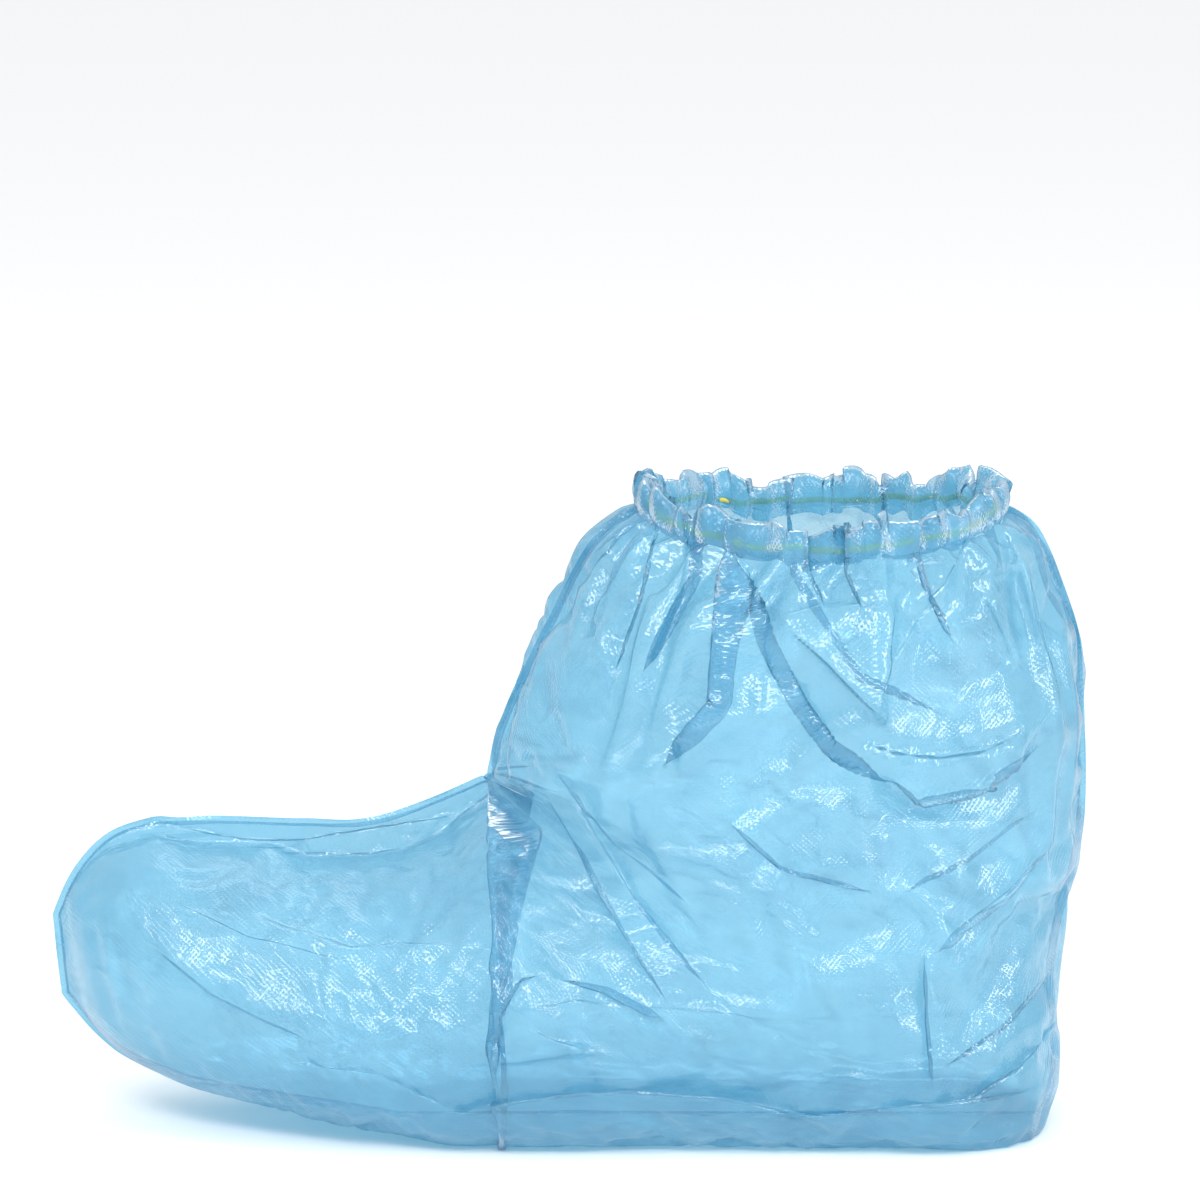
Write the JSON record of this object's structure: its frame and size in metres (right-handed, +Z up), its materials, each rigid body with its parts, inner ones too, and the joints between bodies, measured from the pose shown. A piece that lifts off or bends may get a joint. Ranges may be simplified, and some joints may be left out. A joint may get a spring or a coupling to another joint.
{
  "type": "shoe cover",
  "caption": "Ankle-high disposable shoe cover of thin blue film, two panels welded round the edge, with an elastic-gathered hem, in the form it takes over a shoe",
  "frame": {"origin": "the middle of the panels' length, on the floor plane and on the middle plane, under the shoe that fills the cover", "axes": "+X from the toe to the heel, +Y to the wearer's right, +Z up out of the ankle opening"},
  "size_m": [0.3233, 0.1319, 0.2013],
  "materials": {
    "tinted_film": "thin translucent blue polyethylene film, glossy and finely crinkled",
    "welded_film": "two layers of the same film welded flat, a little darker",
    "latex": "matt yellow latex thread, seen green through the blue hem"
  },
  "bodies": {
    "root": {"left_panel": "tinted_film", "right_panel": "tinted_film", "edge_weld": "welded_film", "hem_tunnel": "tinted_film", "elastic_thread": "latex"}
  },
  "joints": []
}
